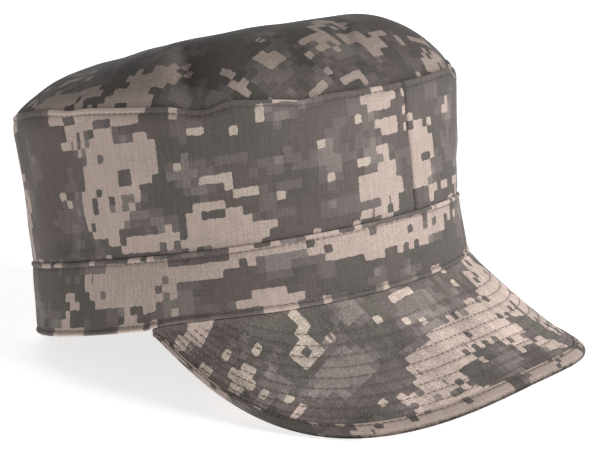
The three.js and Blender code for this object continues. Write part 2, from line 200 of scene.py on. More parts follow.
# The same for flat cloth. long, wide: size of a lump; around: lumps before the noise repeats.
# In BINDING_PUCKER high is a share of the binding's thickness.
TOP_SLACK = dict(high=0.8, long=26, wide=26, shift=(20, 20), seed=11)
TOP_CREPE = dict(high=0.25, long=9, wide=12, shift=(30, 30), seed=12)
BILL_CREPE = dict(high=0.12, long=3.2, wide=6, shift=(40, 3), seed=31, around=128)
BILL_SLACK = dict(high=0.22, long=16, wide=14, shift=(10, 3), seed=32)
BINDING_PUCKER = dict(high=0.05, long=2.4, wide=1 / 1.5, shift=(60, 8), seed=41, around=160)
# Roughly half the bill's length round its edge.
BILL_HALF_RUN = 130

# Half of the binding's section, from its sewn edge to the fold: how far back, as a share of its
# width, and how high, as a share of its half thickness.
BINDING_BACK = [1.0, 0.985, 0.95, 0.88, 0.84, 0.8, 0.75, 0.68, 0.55, 0.4, 0.3]
BINDING_HIGH = [0.55, 0.85, 1.0, 0.97, 0.86, 0.8, 0.88, 1.0, 1.03, 1.0, 0.98]
BINDING_STITCH_BACK = 0.82
BINDING_STITCH_HIGH = 0.84

# Places of the print's largest shapes, in millimetres on the cloth laid flat.
# sand, mixed and dark pull the cells in them that way and grey lightens dark cells; bar and spot
# print the cells inside them light and dark. Columns: middle u and v, half width, half height.
WALL_PATCHES = dict(
    sand=[
        (-147, 80, 22, 11), (-132, 63, 24, 9), (-145, 45, 15, 14), (-128, 51, 6, 5),
        (-104, 30, 28, 5), (-91, 38, 12, 6), (-181, 83, 5, 5), (-17, 73, 9, 4), (-13, 62, 7, 4),
        (-19, 38, 11, 8), (-17, 49, 4, 6), (-165, 87, 7, 4), (-144, 87, 18, 4), (-124, 83, 6, 4),
        (-45, 81, 16, 2.6),
    ],
    dark=[
        (-100, 79, 18, 10), (-187, 54, 15, 28), (-72, 60, 36, 20), (-111, 47, 11, 8),
        (-158, 31, 15, 4),
    ],
    grey=[
        (-42, 33, 14, 5), (-112, 41, 10, 4), (-66, 72, 7, 4), (-60, 44, 9, 3),
    ],
    bar=[
        (-88.2, 52.3, 5.6, 1.7), (-77, 45.5, 4, 2.6), (-102.4, 60.4, 1.7, 2),
        (-45.4, 60.3, 3, 1.8), (-27.3, 49, 3, 1.8), (-103, 81.6, 4, 1.8), (-70.5, 74.8, 3, 2),
        (-95.4, 73.4, 2.6, 2.2),
    ],
    spot=[
        (-154, 75, 2.5, 5), (-151, 67, 3, 4), (-146, 76, 2, 3), (-126.5, 75.5, 7, 3.4),
        (-129.4, 58.5, 4.6, 3.4), (-130, 50, 3, 2.4), (-147, 48, 2, 3.6), (-91, 38, 6, 2.2),
    ],
)
LEFT_WALL_PATCHES = dict(
    sand=[
        (8, 45, 8, 15), (20, 32, 8, 3), (30, 64, 6, 5),
    ],
    dark=[
        (12, 70, 14, 7), (24, 50, 7, 10),
    ],
)
BAND_PATCHES = dict(
    sand=[
        (-136, 19, 22, 7), (-170, 3, 10, 3), (-97, 21, 13, 4), (-73, 5, 14, 4), (-36, 22, 20, 5),
        (-66, 27, 22, 3), (-10, 21, 16, 6),
    ],
    dark=[
        (-189, 17, 16, 10), (-152, 6, 16, 4), (-112, 5, 16, 4), (-91, 12, 13, 4),
        (-62, 17, 17, 5), (-40, 8, 16, 5), (22, 11, 16, 8),
    ],
    grey=[
        (-160, 24, 12, 4), (-16, 7, 14, 5),
    ],
)
TOP_PATCHES = dict(
    sand=[
        (-10, -82, 14, 4), (18, -86, 8, 3.4), (30, -79, 8, 4.4), (38, -73.5, 6.5, 4.6),
        (46, -67, 4.5, 3.6), (60, -74, 4.6, 4), (62, -66, 5, 3.6), (73, -69.5, 5, 3.4),
        (73, -50, 4.6, 5.5), (77.5, -27, 3.6, 6.5), (82, -5, 3, 5), (83.5, 9, 3, 5),
        (89, 1, 3.4, 6), (88, 17, 3, 4), (87, 33, 3, 7), (96, 37, 4, 6), (95, -35, 3.6, 6),
        (101, -27, 3, 7), (97, -47, 3.6, 6),
    ],
    dark=[
        (51, -81, 5, 4.5), (42, -83.5, 6, 3), (86, -53, 5, 8), (92, -17, 4, 8), (97, 9, 5, 14),
        (38, -38, 32, 26),
    ],
    bar=[
        (73, -51, 4.6, 4.6), (84, -37, 1.9, 1.9), (96, -47, 2.4, 5.2), (83, -28, 1.9, 3.2),
    ],
    spot=[
        (67, -71, 1.9, 5),
    ],
)
BILL_PATCHES = dict(
    sand=[
        (12, 122, 22, 9), (-15, 126, 8, 6), (-29, 133, 15, 9), (18, 133, 10, 5), (70, 96, 14, 5),
        (34, 146, 8, 5), (-82, 47, 5, 4), (-14, 100.5, 6, 3),
    ],
    mixed=[
        (58, 112, 30, 24),
    ],
    dark=[
        (-76, 72, 15, 13), (-78, 98, 8, 8), (-62, 126, 24, 18),
    ],
    grey=[
        (-52, 104, 17, 11), (-64, 110, 12, 8), (-36, 93, 14, 8), (2, 143, 16, 8),
    ],
    bar=[
        (-83, 66, 2.2, 2), (-89, 62, 2.2, 3.4), (-86.8, 77.5, 4, 7), (-66.3, 93.5, 5.5, 5.5),
        (-61.2, 86.7, 2.6, 1.8), (-59.5, 82, 1.9, 3.6), (-83.5, 100.6, 2.4, 2.4),
        (-19.3, 114.8, 1.9, 1.9),
    ],
    spot=[
        (-4, 139, 7, 3.6), (-66.3, 93.5, 1.7, 1.7),
    ],
)
BINDING_PATCHES = dict(
    sand=[
        (40, 8, 9, 60), (98, 8, 15, 60), (128, 8, 14, 60), (158, 8, 14, 60), (205, 8, 24, 60),
    ],
    mixed=[
        (300, 8, 60, 60),
    ],
    dark=[
        (66, 8, 16, 60), (176, 8, 5, 60),
    ],
)


def smoothstep(value, low, high):
    share = np.clip((value - low) / (high - low), 0, 1)
    return share * share * (3 - 2 * share)


def hill(offset, width, crisp=1):
    """1 at the middle and falling away on both sides, rounded or pinched."""
    away = np.abs(offset / width)
    if crisp == 2:
        return np.exp(-np.sqrt(away * away + 0.02) * 1.6 + 0.22)
    return np.exp(-away * away)


def window(value, low, high):
    edge = 0.12
    rise = smoothstep(value, low - edge / 2, low + edge)
    fall = smoothstep(value, high - edge, high + edge / 2)
    return rise * (1 - fall)


def soft_table(value, places, amounts, blur):
    """Straight lines through a short table, with the corners rounded."""
    taps = [np.interp(value + blur * shift, places, amounts) for shift in (-1, -0.5, 0, 0.5, 1)]
    return sum(taps) / len(taps)


def turn_between(first, second):
    return np.arctan2(np.sin(first - second), np.cos(first - second))


def points(x, y, z):
    return np.stack(np.broadcast_arrays(x, y, z), axis=-1).astype(float)


def outward(turn):
    return points(np.cos(turn), np.sin(turn), 0.0)


def unit(vectors):
    return vectors / np.maximum(np.linalg.norm(vectors, axis=-1, keepdims=True), 1e-12)


def cloth_noise(across, along, seed, around=64):
    """Smooth noise from -1 to 1 on a grid of unit cells that repeats every `around` cells."""
    lattice = np.random.default_rng(seed).uniform(-1, 1, (around, 64))
    across, along = np.broadcast_arrays(across, along)
    column, row = np.floor(across).astype(int), np.floor(along).astype(int)
    east, north = across - column, along - row
    east, north = east * east * (3 - 2 * east), north * north * (3 - 2 * north)

    def pick(c, r):
        return lattice[c % around, r % 64]

    low = pick(column, row) * (1 - east) + pick(column + 1, row) * east
    high = pick(column, row + 1) * (1 - east) + pick(column + 1, row + 1) * east
    return low * (1 - north) + high * north


def ripple(turn, along, high, cells, rows, shift, seed):
    """Unevenness that goes round the cap without a seam."""
    return high * cloth_noise(turn / np.pi * cells, along * rows + shift, seed, 2 * cells)


def lumps(across, along, high, long, wide, shift, seed, around=64):
    """Unevenness of flat cloth."""
    return high * cloth_noise(across / long + shift[0], along / wide + shift[1], seed, around)


def furrow(beside, deep):
    return deep * np.exp(-((beside / FURROW_WIDTH) ** 2))


def oval_radius(turn, half_length, half_width, squareness):
    along = np.abs(np.cos(turn) / half_length) ** squareness
    across = np.abs(np.sin(turn) / half_width) ** squareness
    return (along + across) ** (-1 / squareness)


def round_about(turn, front, back, left, right):
    mean = (front + back + left + right) / 4
    ends = (front + back - left - right) / 4
    tilt = (front - back) / 2 * np.cos(turn) + (left - right) / 2 * np.sin(turn)
    return mean + ends * np.cos(2 * turn) + tilt


def rim_height(turn):
    across = np.minimum(1, np.abs(turn_between(turn, 0.0)) / BILL_HALF_TURN)
    return RIM_LIFT_TEMPLES * (1 - across**8) - RIM_DIP_FRONT * (1 - across**2)


def rim_point(turn):
    radius = oval_radius(turn, RIM_HALF_LENGTH, RIM_HALF_WIDTH, RIM_SQUARENESS)
    return points(radius * np.cos(turn), radius * np.sin(turn), rim_height(turn))


def band_top_point(turn):
    half_length = RIM_HALF_LENGTH + BAND_FLARE_LENGTH
    half_width = RIM_HALF_WIDTH + BAND_FLARE_WIDTH
    radius = oval_radius(turn, half_length, half_width, RIM_SQUARENESS)
    east = radius * np.cos(turn) + BAND_SHIFT_FORWARD
    return points(east, radius * np.sin(turn), round_about(turn, **BAND_HEIGHTS))


def top_seam_point(turn):
    half_length = RIM_HALF_LENGTH + SEAM_FLARE_LENGTH
    half_width = RIM_HALF_WIDTH + SEAM_FLARE_WIDTH
    radius = oval_radius(turn, half_length, half_width, SEAM_SQUARENESS)
    east = radius * np.cos(turn) + SEAM_SHIFT_FORWARD
    north = radius * np.sin(turn) + SEAM_SHIFT_LEFT
    return points(east, north, round_about(turn, **SEAM_HEIGHTS))


def seam_pucker(turn):
    pull = np.zeros(np.shape(turn) + (3,))
    for row in SEAM_PUCKERS:
        share = hill(turn_between(turn, math.radians(row["turn"])), math.radians(row["width"]))
        pull -= outward(turn) * (row["pull_in"] * FOLD_UNIT * share)[..., None]
        pull[..., 2] -= row["down"] * FOLD_UNIT * share
    return pull


def arc_length(turn):
    """Millimetres round the crown from the front, at the headband's upper edge."""
    dense = np.linspace(-np.pi, 3 * np.pi, 2881)
    steps = np.linalg.norm(np.diff(band_top_point(dense)[:, :2], axis=0), axis=1)
    total = np.concatenate([[0], np.cumsum(steps)])
    return np.interp(turn, dense, total) - np.interp(0.0, dense, total)


def wall_height(turn):
    return round_about(turn, **SEAM_HEIGHTS) - round_about(turn, **BAND_HEIGHTS)


def wall_relief(turn, up):
    """Folds and sewing on the side wall, in millimetres outwards."""
    relief = np.zeros(np.shape(turn))
    for row in WALL_FOLDS:
        centre = np.radians(row["turn"] + row["lean"] * (up - 0.5))
        share = hill(turn_between(turn, centre), math.radians(row["width"]))
        relief -= row["depth"] * FOLD_UNIT * share * window(up, row["low"], row["high"])
    relief *= np.minimum(1, up / 0.08) * np.minimum(1, (1 - up) / 0.08)
    below = (1 - up) * wall_height(turn)
    above = up * wall_height(turn)
    # The stitched edges gather the cloth, and it is a little slack everywhere else.
    top_fade = np.exp(-below / 7) * smoothstep(below, 1.5, 3.5)
    band_fade = np.exp(-above / 6) * smoothstep(above, 0.2, 1.5)
    relief += top_fade * ripple(turn, below, **SEAM_GATHER)
    relief += band_fade * ripple(turn, above, **BAND_GATHER)
    calm = smoothstep(below, 1, 8) * smoothstep(above, 0.5, 6)
    relief += calm * ripple(turn, up, **WALL_SLACK)
    relief += calm * ripple(turn, up, **WALL_CREPE)
    relief += soft_table(below, RIDGE_AT, TOP_RIDGE_OUT, 0.2)
    relief -= WALL_SINK * np.exp(-above / WALL_SINK_REACH)
    # The seams are at the front and the back.
    oval = oval_radius(turn, RIM_HALF_LENGTH, RIM_HALF_WIDTH, RIM_SQUARENESS)
    for seam in (0.0, np.pi):
        beside = np.abs(turn_between(turn, seam)) * oval
        relief += ALLOWANCE_HEIGHT * (1 - smoothstep(beside, *ALLOWANCE_EDGES))
        relief -= furrow(beside, WALL_FURROW)
    return relief


def wall_point(turn, up):
    foot = band_top_point(turn) - BAND_PROUD * outward(turn)
    along = np.asarray(up)[..., None]
    place = foot + (top_seam_point(turn) - foot) * along
    place = place + seam_pucker(turn) * along**4
    bulge = soft_table(up, WALL_PROFILE_UP, WALL_PROFILE_OUT, 0.035) * WALL_BULGE
    return place + outward(turn) * (bulge + wall_relief(turn, up))[..., None]


def top_fold_depth(place):
    depth = np.zeros(place.shape[:-1])
    for row in TOP_FOLDS:
        centre = top_seam_point(np.array(math.radians(row["turn"]))) * row["reach"]
        aim = math.radians(row["turn"] + row["aim"])
        east = place[..., 0] - centre[0]
        north = place[..., 1] - centre[1]
        along = east * math.cos(aim) + north * math.sin(aim)
        across = north * math.cos(aim) - east * math.sin(aim)
        share = hill(along, row["along"] * RIM_HALF_WIDTH)
        share = share * hill(across, row["across"] * RIM_HALF_WIDTH, row["crisp"])
        depth += row["depth"] * FOLD_UNIT * share
    return depth


def top_point(turn, reach):
    edge = top_seam_point(turn)
    east = SEAM_SHIFT_FORWARD + (edge[..., 0] - SEAM_SHIFT_FORWARD) * reach
    north = SEAM_SHIFT_LEFT + (edge[..., 1] - SEAM_SHIFT_LEFT) * reach
    level = DOME_HEIGHT + (edge[..., 2] - DOME_HEIGHT) * reach ** round_about(turn, **DOME_FLATNESS)
    place = points(east, north, level) + seam_pucker(turn) * (reach**8)[..., None]
    place[..., 2] -= top_fold_depth(place) * (1 - reach**12)
    inside = (1 - reach) * RIM_HALF_WIDTH
    # The panel rolls down into the seam and is gathered by it.
    place[..., 2] += soft_table(inside, ROLL_AT, ROLL_OUT, 0.3)
    gather = np.exp(-inside / 8) * smoothstep(inside, 0.3, 2.5)
    place[..., 2] += gather * ripple(turn, inside, **TOP_GATHER)
    slack = smoothstep(inside, 1, 12)
    east, north = place[..., 0], place[..., 1]
    place[..., 2] += slack * (lumps(east, north, **TOP_SLACK) + lumps(east, north, **TOP_CREPE))
    return place


def bill_reach(across):
    corner = 1 - np.abs(across) ** BILL_CORNER_POWER
    return BILL_REACH * corner**BILL_CORNER_SOFTNESS


def bill_droop(across):
    return BILL_DROOP_FRONT + (BILL_DROOP_SIDES - BILL_DROOP_FRONT) * across**2


def bill_top(across, distance):
    reach = bill_reach(across)
    share = distance / reach
    sag = BILL_SAG * 4 * share * (1 - share) * reach / BILL_REACH
    place = rim_point(BILL_HALF_TURN * across)
    place = place + outward(BILL_SPLAY * across) * np.asarray(distance)[..., None]
    place[..., 2] -= JOINT_GAP + distance * np.tan(bill_droop(across)) + sag
    return place


def bill_slope(across):
    return bill_reach(across) / np.cos(bill_droop(across))


def bill_layer(across, slope, height):
    """A point `slope` back from the bill's edge along the cloth and `height` over its top."""
    small = 0.01
    across, slope = np.broadcast_arrays(across, slope)
    distance = bill_reach(across) - slope * np.cos(bill_droop(across))
    middle = bill_top(across, distance)
    further = bill_top(across, distance + small) - middle
    beside = bill_top(across + small, distance) - middle
    normal = unit(np.cross(further, beside))
    return middle + normal * np.broadcast_to(height, across.shape)[..., None]


def bill_normal(across, slope):
    return unit(bill_layer(across, slope, 1.0) - bill_layer(across, slope, 0.0))


def binding_width(across):
    return np.minimum(BINDING_WIDTH, 0.6 * bill_slope(across))


def level_shift():
    """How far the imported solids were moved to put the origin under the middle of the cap."""
    low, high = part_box("headband")
    turns = np.arange(72) * (2 * np.pi / 72)
    rim = set_down(np.concatenate([rim_point(turns), band_top_point(turns)]), np.zeros(2))
    forward = low.x - rim[:, 0].min()
    aside = (low.y + high.y - rim[:, 1].min() - rim[:, 1].max()) / 2
    return np.array([forward, aside]) / MM


def set_down(place, shift):
    """Level millimetres to metres on the floor, with the rim's back pressed flat."""
    forward = place[..., 0] + RIM_HALF_LENGTH
    height = place[..., 2] - RIM_FLATTENED
    east = forward * math.cos(REST_PITCH) - height * math.sin(REST_PITCH) - RIM_HALF_LENGTH
    level = np.maximum(0, forward * math.sin(REST_PITCH) + height * math.cos(REST_PITCH))
    return points(east + shift[0], place[..., 1] + shift[1], level) * MM


SHIFT = level_shift()


def add_object(name, data):
    thing = bpy.data.objects.new(name, data)
    bpy.context.scene.collection.objects.link(thing)
    return thing


def smooth_mesh(name, verts, faces):
    """A mesh from points in level millimetres, set down on the floor."""
    mesh = bpy.data.meshes.new(name)
    mesh.from_pydata(set_down(verts, SHIFT).tolist(), [], faces)
    mesh.polygons.foreach_set("use_smooth", np.ones(len(faces), bool))
    return mesh


def cloth_sheet(name, outer, inner, uv_outer, uv_inner, raised, wraps=False, centre=None):
    """A closed sheet of cloth from rows of points on its two faces; centre closes the last row.

    The attribute for the outer face lightens (+) and darkens (-) its colour: wear, painted highlights on
    folded edges, and painted shade in grooves, hollows and where one piece laps another.
    """
    rows, columns = outer.shape[:2]
    count = rows * columns
    verts = np.concatenate([outer.reshape(-1, 3), inner.reshape(-1, 3)])
    grid = np.arange(count).reshape(rows, columns)
    here, there = slice(None, -1), slice(1, None)
    if wraps:
        grid = np.concatenate([grid, grid[:, :1]], axis=1)
    wide = grid.shape[1]
    uv_grid = [uv_outer[:, :wide], uv_inner[:, :wide]]

    def quads(corners, charts):
        return np.stack(corners, -1).reshape(-1, 4), np.stack(charts, -2).reshape(-1, 4, 2)

    def strip(ids, chart, forward):
        """Closes the gap between the two faces along one edge."""
        order = [(0, here), (count, here), (count, there), (0, there)]
        order = order if forward else order[::-1]
        return quads([ids[k] + side for side, k in order], [chart[k] for side, k in order])

    parts = []
    for side in (0, 1):
        ids = grid + side * count
        ring = [(here, here), (here, there), (there, there), (there, here)]
        ring = ring[::-1] if side else ring
        parts.append(quads([ids[k] for k in ring], [uv_grid[side][k] for k in ring]))
    parts.append(strip(grid[0], uv_grid[0][0], True))
    if centre is None:
        parts.append(strip(grid[-1], uv_grid[0][-1], False))
    if not wraps:
        parts.append(strip(grid[:, 0], uv_grid[0][:, 0], False))
        parts.append(strip(grid[:, -1], uv_grid[0][:, -1], True))
    corners = np.concatenate([part[0] for part in parts])
    charts = np.concatenate([part[1] for part in parts])
    faces = corners.tolist()
    loops = list(charts.reshape(-1, 2))
    if centre is not None:
        verts = np.concatenate([verts, centre["points"]])
        for side in (0, 1):
            tip = 2 * count + side
            ids = grid[-1] + side * count
            chart = uv_grid[side][-1]
            for column in range(wide - 1):
                first, second = (column + 1, column) if side else (column, column + 1)
                faces.append([int(ids[first]), int(ids[second]), tip])
                loops += [chart[first], chart[second], centre["uv"]]
    mesh = smooth_mesh(name, verts, faces)
    mesh.uv_layers.new(name="cloth")
    mesh.uv_layers["cloth"].data.foreach_set("uv", np.array(loops, np.float32).ravel())
    lift = np.zeros(len(mesh.vertices), np.float32)
    lift[:count] = np.broadcast_to(raised, (rows, columns)).ravel()
    mesh.attributes.new("raised", "FLOAT", "POINT").data.foreach_set("value", lift)
    if signed_volume(mesh) < 0:
        mesh.flip_normals()
    return add_object(name, mesh)


def signed_volume(mesh):
    mesh.calc_loop_triangles()
    co = np.zeros(len(mesh.vertices) * 3)
    mesh.vertices.foreach_get("co", co)
    co = co.reshape(-1, 3)
    tri = np.zeros(len(mesh.loop_triangles) * 3, int)
    mesh.loop_triangles.foreach_get("vertices", tri)
    a, b, c = co[tri.reshape(-1, 3)].transpose(1, 0, 2)
    return float(np.einsum("ij,ij->i", a, np.cross(b, c)).sum())


def ring_normals(place):
    """Unit normals of rows of points that close round, from their neighbours."""
    padded = np.concatenate([place[:, -1:], place, place[:, :1]], axis=1)
    beside = padded[:, 2:] - padded[:, :-2]
    return unit(np.cross(beside, np.gradient(place, axis=0)))


def side_rows():
    """Shares of the wall's height, closer together near its sewn edges."""
    low = np.linspace(0, 0.06, 12)
    middle = np.linspace(0.06, 0.92, 58)[1:]
    high = np.linspace(0.92, 1.0, 30)[1:]
    return np.concatenate([low, middle, high])


def make_crown_side(node, side):
    ups = side_rows()[:, None]
    turns = np.linspace(WALL_END_ANGLE, np.pi - WALL_END_ANGLE, 330)[None, :] * side
    ups, turns = np.broadcast_arrays(ups, turns)
    outer = wall_point(turns, ups)
    inner = outer - CROWN_WALL * outward(turns)
    uv = np.stack([arc_length(turns), ups * wall_height(turns) + BAND_HEIGHTS["front"]], -1)
    below = (1 - ups) * wall_height(turns)
    above = ups * wall_height(turns)
    # Wear and a painted highlight on the folded top edge, painted shade in the stitch groove below it,
    # and a painted shadow on the wall where the band laps over its foot.
    raised = soft_table(below, RIDGE_AT, EDGE_WEAR_AND_PAINTED_LIGHT, 0.1) - 0.8 * np.exp(-above / 1.2)
    piece = cloth_sheet(node + "_cloth", outer, inner, uv, uv, raised)
    return finish_piece(piece, node)


def make_crown_top(name):
    reaches = np.concatenate([np.linspace(1, 0.93, 26), np.linspace(0.93, 0.05, 66)[1:]])[:, None]
    count = 420
    turns = (np.arange(count) * (2 * np.pi / count))[None, :]
    reaches, turns = np.broadcast_arrays(reaches, turns)
    outer = top_point(turns, reaches)
    normal = ring_normals(outer)
    normal *= np.sign(normal[..., 2:3] + 1e-9)
    steps = np.where(reaches > 0.97, 0.0, 1.0)[..., None]
    level = outward(turns)
    inner = outer - CROWN_WALL * (normal * steps + level * (1 - steps))
    summit = top_point(np.zeros(1), np.zeros(1))[0]
    centre = dict(points=np.stack([summit, summit - [0, 0, CROWN_WALL]]), uv=np.zeros(2))
    # The chart is the panel unrolled from its middle, so that the print keeps its size.
    steps = np.linalg.norm(np.diff(outer, axis=0), axis=-1)
    first = np.linalg.norm(outer[-1] - summit, axis=-1)
    run = first + np.concatenate([np.cumsum(steps[::-1], axis=0)[::-1], np.zeros((1, count))])
    aim = np.arctan2(outer[0, :, 1] - SEAM_SHIFT_LEFT, outer[0, :, 0] - SEAM_SHIFT_FORWARD)
    chart = np.stack([run * np.cos(aim), run * np.sin(aim)], -1)
    chart = np.concatenate([chart, chart[:, :1]], axis=1)
    inside = (1 - reaches) * RIM_HALF_WIDTH
    # Painted shade right at the seam and a lighter crest on the roll, partly wear and partly painted
    # highlight, then painted shade in the hollows of the folds.
    raised = soft_table(inside, ROLL_AT, ROLL_WEAR_AND_PAINTED_LIGHT, 0.3)
    raised = raised - 0.28 * np.maximum(0, top_fold_depth(outer)) * (1 - reaches**12)
    piece = cloth_sheet(name, outer, inner, chart, chart, raised, wraps=True, centre=centre)
    return finish_piece(piece, "crown_top")


def band_relief(turn, up, tall):
    below = (1 - up) * tall
    above = up * tall
    relief = soft_table(below, RIDGE_AT, BAND_RIDGE_OUT, 0.2)
    relief = relief + soft_table(above, RIDGE_AT, BAND_RIDGE_OUT, 0.2)
    calm = smoothstep(below, 1, 6) * smoothstep(above, 1, 6)
    relief += calm * (ripple(turn, up, **BAND_SLACK) + ripple(turn, up, **BAND_CREPE))
    from_edge = np.minimum(below, above)
    near = np.exp(-from_edge / 4) * smoothstep(from_edge, 1.5, 3.2)
    relief += near * ripple(turn, up, **HEM_GATHER)
    beside = np.abs(turn_between(turn, np.pi)) * RIM_HALF_LENGTH
    return relief - furrow(beside, BAND_FURROW)


def band_point(turn, up):
    low, high = rim_point(turn), band_top_point(turn)
    place = low + (high - low) * np.asarray(up)[..., None]
    tall = high[..., 2] - low[..., 2]
    return place + outward(turn) * band_relief(turn, up, tall)[..., None]


def make_headband(name):
    ups = np.concatenate([
        np.linspace(0, 0.14, 16), np.linspace(0.14, 0.86, 22)[1:], np.linspace(0.86, 1, 16)[1:]
    ])[:, None]
    count = 640
    turns = (np.arange(count) * (2 * np.pi / count) - np.pi)[None, :]
    ups, turns = np.broadcast_arrays(ups, turns)
    outer = band_point(turns, ups)
    inner = outer - BAND_WALL * outward(turns)
    closed = np.concatenate([turns, turns[:, :1] + 2 * np.pi], axis=1)
    heights = np.concatenate([ups, ups[:, :1]], axis=1) * BAND_CLOTH_HEIGHT
    chart = np.stack([arc_length(closed), heights], -1)
    tall = band_top_point(turns)[..., 2] - rim_point(turns)[..., 2]
    # Wear and painted highlights on both folded edges of the band, with painted shade in the stitch
    # grooves beside them.
    raised = soft_table((1 - ups) * tall, RIDGE_AT, EDGE_WEAR_AND_PAINTED_LIGHT, 0.1)
    raised = raised + soft_table(ups * tall, RIDGE_AT, EDGE_WEAR_AND_PAINTED_LIGHT, 0.1)
    piece = cloth_sheet(name, outer, inner, chart, chart, raised, wraps=True)
    return finish_piece(piece, "headband")


def bill_row_distances():
    return [BILL_FIRST_ROW + BILL_ROW_SPACING * row for row in range(BILL_ROWS_SEWN)]


def bill_relief(across, slope):
    """Furrows under the rows of stitches and the soft ribs between them."""
    relief = np.zeros(np.shape(slope))
    for distance in bill_row_distances():
        relief -= furrow(slope - distance, BILL_FURROW)
    along = across * BILL_HALF_RUN
    return relief + lumps(along, slope, **BILL_CREPE) + lumps(along, slope, **BILL_SLACK)


def bill_places(count):
    return BILL_END_SHARE * np.sin(np.linspace(-np.pi / 2, np.pi / 2, count))


def bill_chart(across, slope):
    """The bill's cloth laid flat, in millimetres."""
    root = rim_point(BILL_HALF_TURN * across)
    length = bill_slope(across) - slope
    return np.stack([
        root[..., 1] + length * np.sin(BILL_SPLAY * across),
        root[..., 0] + length * np.cos(BILL_SPLAY * across),
    ], -1)


def make_bill(name):
    across = bill_places(300)[None, :]
    step = binding_width(across) - BINDING_LAP
    share = np.linspace(0, 1, 96)[:, None]
    open_rows = bill_slope(across) + (step - bill_slope(across)) * share
    edge_rows = step + (BILL_CLOTH_END - step) * np.linspace(0.06, 1, 7)[:, None]
    slope = np.concatenate([open_rows, edge_rows])
    across = np.broadcast_to(across, slope.shape)
    pressed = BINDING_PRESS * smoothstep(step + 0.4 - slope, 0, 0.6)
    fade = smoothstep(bill_slope(across) - slope, 0.5, 3)
    relief = bill_relief(across, slope) * fade
    faces = []
    for sign in (1, -1):
        height = sign * (BILL_WALL / 2 - pressed + relief) - BILL_WALL / 2
        face = bill_layer(across, slope, height)
        turn = BILL_HALF_TURN * across[:1]
        under = 0 if sign > 0 else BILL_WALL
        tuck = rim_point(turn) - (TUCK_DEPTH + under) * outward(turn)
        tuck[..., 2] -= TUCK_GAP + under
        faces.append(np.concatenate([tuck, face]))
    chart = bill_chart(across, slope)
    chart = np.concatenate([chart[:1], chart])
    lower_chart = chart + LOWER_CLOTH_SHIFT
    # Painted shade on the cloth tucked under the band, and painted shade and light that follow the
    # furrows under the stitches and the lumps between them.
    raised = np.concatenate([relief[:1] * 0 - 1, relief * 3])
    piece = cloth_sheet(name, faces[0], faces[1], chart, lower_chart, raised)
    return finish_piece(piece, "bill")


def make_binding(name):
    across = bill_places(360)[None, :]
    width = binding_width(across)
    outside = BILL_WALL / 2 + BINDING_PROUD
    inside = BILL_WALL / 2 - BINDING_PRESS + 0.15
    # Half way round the fold, then mirrored for the other leg.
    slopes = [width * share for share in BINDING_BACK]
    levels = list(BINDING_HIGH)
    for angle in np.linspace(0, np.pi / 2, 9)[1:]:
        slopes.append(width * 0 + outside * (1 - np.sin(angle)) * 1.05)
        levels.append(np.cos(angle) * 0.98)
    slopes = slopes + slopes[-2::-1]
    levels = levels + [-level for level in levels[-2::-1]]
    slope = np.concatenate(slopes)
    level = np.array(levels)[:, None]
    across = np.broadcast_to(across, slope.shape)
    pucker = lumps(across * BILL_HALF_RUN, level, **BINDING_PUCKER)
    outer = bill_layer(across, slope, -BILL_WALL / 2 + level * outside * (1 + pucker))
    depth = np.clip(level * 1.6, -1, 1) * inside
    inner = bill_layer(across, np.maximum(slope, 0.9), -BILL_WALL / 2 + depth)
    edge = bill_layer(across[:1], slope[:1] * 0, 0)[0]
    run = np.concatenate([[0], np.cumsum(np.linalg.norm(np.diff(edge, axis=0), axis=1))])
    middle = slope[:, slope.shape[1] // 2]
    walk = np.cumsum(np.concatenate([[0], np.abs(np.diff(middle)) + 0.25]))
    chart = np.stack(np.broadcast_arrays(run[None, :], walk[:, None]), -1).astype(float)
    # Painted shade and light from the binding's shape: drawn darker towards its sewn edge and round the
    # fold, and lighter where the puckers stand out.
    raised = (np.abs(level) - 0.95) * 3 + 6 * pucker
    piece = cloth_sheet(name, outer, inner, chart, chart, raised)
    return finish_piece(piece, "bill_binding")


def finish_piece(piece, node):
    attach(piece, "root")
    if node:
        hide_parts(node)
    return piece


# Stitches


def stitch_run(path, normal, start=0.0):
    """Places, directions and normals of the stitches along a path of close points."""
    lengths = np.linalg.norm(np.diff(path, axis=0), axis=1)
    run = np.concatenate([[0], np.cumsum(lengths)])
    step = STITCH_LENGTH + STITCH_GAP
    count = int((run[-1] - start) / step)
    middles = start + (np.arange(count) + 0.5) * step

    def at(where, values):
        return np.stack([np.interp(where, run, values[:, k]) for k in range(3)], -1)

    head = at(middles + STITCH_LENGTH / 2, path)
    tail = at(middles - STITCH_LENGTH / 2, path)
    face = unit(at(middles, normal))
    return (head + tail) / 2 + face * THREAD_LIFT, head - tail, face


def thread_shape():
    """A short thread that dips at both ends: rings of points along x, from -0.5 to 0.5."""
    sides, rings = 6, 6
    along = np.linspace(-0.5, 0.5, rings)
    angles = np.arange(sides) * (2 * np.pi / sides)
    thick = THREAD_RADIUS * np.sqrt(np.clip(1 - (np.abs(along) * 2) ** 4, 0.12, 1))
    dip = -0.5 * THREAD_RADIUS * (np.abs(along) * 2) ** 3
    body = [
        np.stack([np.full(sides, x), r * np.cos(angles), r * np.sin(angles) + d], -1)
        for x, r, d in zip(along, thick, dip)
    ]
    verts = np.concatenate(body)
    faces = []
    for ring in range(rings - 1):
        near, far = ring * sides, (ring + 1) * sides
        for side in range(sides):
            beside = (side + 1) % sides
            faces.append([near + side, near + beside, far + beside, far + side])
    caps = [list(range(sides))[::-1], list(range((rings - 1) * sides, rings * sides))]
    return verts, faces + caps


